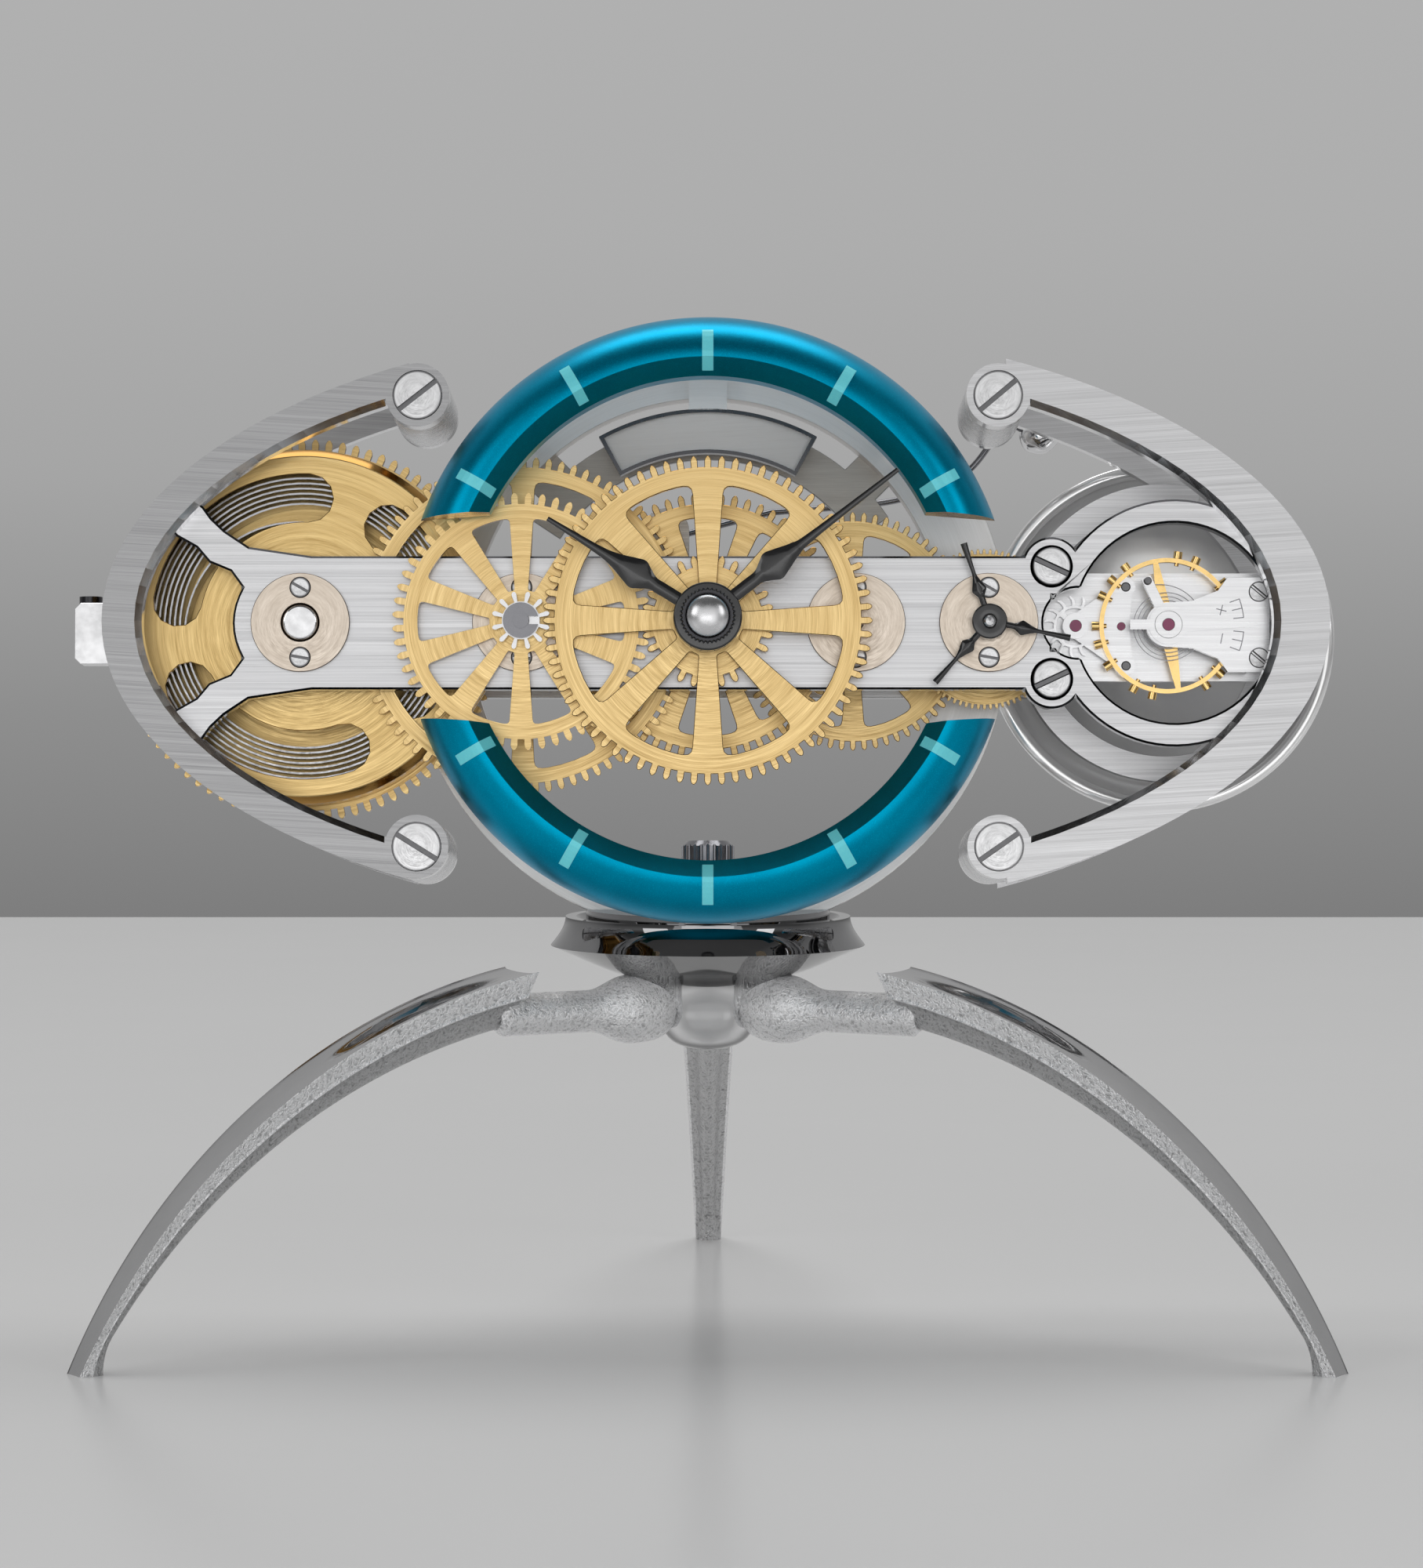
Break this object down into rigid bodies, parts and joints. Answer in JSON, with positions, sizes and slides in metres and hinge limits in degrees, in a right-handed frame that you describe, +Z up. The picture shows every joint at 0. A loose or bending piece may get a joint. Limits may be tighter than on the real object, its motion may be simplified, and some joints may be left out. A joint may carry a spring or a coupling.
{
  "type": "mechanical table clock",
  "caption": "Skeleton table clock: open going train between oval arches, blue hour ring, balance platform and bell, on a three-legged cast stand.",
  "frame": {"origin": "on the table, below the middle of the bounding box, between the three feet", "axes": "+X to the right as the clock is read, +Y to its rear, +Z up"},
  "size_m": [0.1762, 0.1466, 0.1399],
  "materials": {
    "black_gloss": "gloss black lacquer",
    "nut_steel": "polished dome on a dark knurled ring",
    "dial_blue": "blue anodised, satin",
    "marker_blue": "light blue paint",
    "steel_polished": "polished",
    "wheel_brass": "straight-grained brass",
    "barrel_brass": "circular-grained brass",
    "steel_satin": "satin",
    "dark_steel": "dark polished",
    "frame_steel": "straight-grained steel",
    "screw_steel": "circular-grained heads",
    "cover_bronze": "circular-grained tan bronze",
    "dark_plate": "dark grey satin",
    "plaque_steel": "brushed field in a polished edge",
    "spring_steel": "bright spring steel",
    "balance_gold": "polished gold-coloured",
    "platform_steel": "fine satin",
    "jewel_red": "clear magenta",
    "bell_metal": "mirror polished",
    "black_screw": "black",
    "hub_chrome": "mirror polished",
    "leg_cast": "cast texture with polished top"
  },
  "bodies": {
    "frame": {"dial_ring": "dial_blue", "hour_markers": "marker_blue", "dial_posts": "steel_polished", "minute_stud": "dark_steel", "front_bridge": "frame_steel", "front_left_arch": "frame_steel", "front_right_arch": "frame_steel", "frame_pillars": "frame_steel", "frame_screws": "screw_steel", "bearing_covers": "cover_bronze", "cover_screws": "screw_steel", "rear_bridge": "frame_steel", "rear_left_arch": "frame_steel", "rear_right_arch": "frame_steel", "rear_ring": "steel_polished", "rear_plate": "dark_plate", "plaque": "plaque_steel", "click": "steel_satin", "hairspring": "spring_steel", "balance_cock": "platform_steel", "escape_bridge": "platform_steel", "jewels": "jewel_red", "platform": "platform_steel", "platform_screws": "screw_steel", "bell": "bell_metal", "rear_posts": "steel_satin", "side_block": "bell_metal", "side_block_screw": "black_screw", "clamp_screw": "dark_steel", "saddle": "hub_chrome", "hub": "hub_chrome", "legs": "leg_cast"},
    "centre": {"minute_hand": "black_gloss", "hand_nut": "nut_steel", "cannon_wheel": "wheel_brass", "centre_wheel": "wheel_brass", "centre_arbor": "steel_satin"},
    "hour": {"hour_hand": "black_gloss", "hour_wheel": "wheel_brass"},
    "minute": {"minute_wheel": "wheel_brass", "minute_pinion": "steel_satin"},
    "barrel": {"barrel_drum": "barrel_brass", "barrel_cover": "barrel_brass", "mainspring": "spring_steel"},
    "winding": {"barrel_arbor": "steel_polished"},
    "first": {"first_wheel": "wheel_brass", "first_arbor": "steel_satin"},
    "third": {"third_wheel": "wheel_brass", "third_arbor": "steel_satin"},
    "seconds": {"seconds_wheel": "wheel_brass", "seconds_arbor": "steel_satin", "seconds_hand": "black_gloss"},
    "escape": {"escape_wheel": "steel_polished", "escape_pinion": "steel_satin"},
    "pallet": {"pallet_fork": "steel_polished"},
    "balance": {"balance_wheel": "balance_gold", "balance_screws": "balance_gold", "balance_staff": "steel_satin"},
    "regulator": {"regulator": "platform_steel"},
    "hammer": {"hammer": "dark_steel"}
  },
  "joints": [
    {"name": "centre_turn", "type": "hinge", "parent": "frame", "child": "centre", "pos_m": [0, -0.04478, 0.09865], "axis": [0, 0.9957, -0.0924], "continuous": true},
    {"name": "hour_turn", "type": "hinge", "parent": "frame", "child": "hour", "pos_m": [0, -0.04478, 0.09865], "axis": [0, 0.9957, -0.0924], "continuous": true},
    {"name": "minute_wheel_turn", "type": "hinge", "parent": "frame", "child": "minute", "pos_m": [-0.0252, -0.04478, 0.09865], "axis": [0, 0.9957, -0.0924], "continuous": true},
    {"name": "first_turn", "type": "hinge", "parent": "frame", "child": "first", "pos_m": [-0.0252, -0.04478, 0.09865], "axis": [0, 0.9957, -0.0924], "continuous": true},
    {"name": "barrel_turn", "type": "hinge", "parent": "frame", "child": "barrel", "pos_m": [-0.0552, -0.04478, 0.09865], "axis": [0, 0.9957, -0.0924], "continuous": true},
    {"name": "third_turn", "type": "hinge", "parent": "frame", "child": "third", "pos_m": [0.02006, -0.04478, 0.09865], "axis": [0, 0.9957, -0.0924], "continuous": true},
    {"name": "seconds_turn", "type": "hinge", "parent": "frame", "child": "seconds", "pos_m": [0.03806, -0.04478, 0.09865], "axis": [0, 0.9957, -0.0924], "continuous": true},
    {"name": "escape_turn", "type": "hinge", "parent": "frame", "child": "escape", "pos_m": [0.05021, -0.04478, 0.09865], "axis": [0, 0.9957, -0.0924], "continuous": true},
    {"name": "winding_turn", "type": "hinge", "parent": "frame", "child": "winding", "pos_m": [-0.0552, -0.04478, 0.09865], "axis": [0, 0.9957, -0.0924], "continuous": true},
    {"name": "balance_swing", "type": "hinge", "parent": "frame", "child": "balance", "pos_m": [0.0627, -0.04478, 0.09865], "axis": [0, 0.9957, -0.0924], "range_deg": [-220, 220], "stiffness_Nm_per_rad": 0.000012},
    {"name": "pallet_swing", "type": "hinge", "parent": "frame", "child": "pallet", "pos_m": [0.05651, -0.04478, 0.09865], "axis": [0, 0.9957, -0.0924], "range_deg": [-2.6, 2.6]},
    {"name": "regulator_turn", "type": "hinge", "parent": "frame", "child": "regulator", "pos_m": [0.0627, -0.04478, 0.09865], "axis": [0, 0.9957, -0.0924], "range_deg": [-8, 8]},
    {"name": "hammer_swing", "type": "hinge", "parent": "frame", "child": "hammer", "pos_m": [-0.0058, -0.04348, 0.11269], "axis": [0, 0.9957, -0.0924], "range_deg": [-8, 6], "stiffness_Nm_per_rad": 0.02}
  ],
  "couplings": [
    {"joint": "hour_turn", "follows": "centre_turn", "ratio": 0.083333},
    {"joint": "minute_wheel_turn", "follows": "centre_turn", "ratio": -0.5},
    {"joint": "first_turn", "follows": "centre_turn", "ratio": -0.125},
    {"joint": "barrel_turn", "follows": "centre_turn", "ratio": 0.020349},
    {"joint": "third_turn", "follows": "centre_turn", "ratio": -7.5},
    {"joint": "seconds_turn", "follows": "centre_turn", "ratio": 60},
    {"joint": "escape_turn", "follows": "centre_turn", "ratio": -480},
    {"joint": "pallet_swing", "follows": "balance_swing", "ratio": -0.011364}
  ]
}
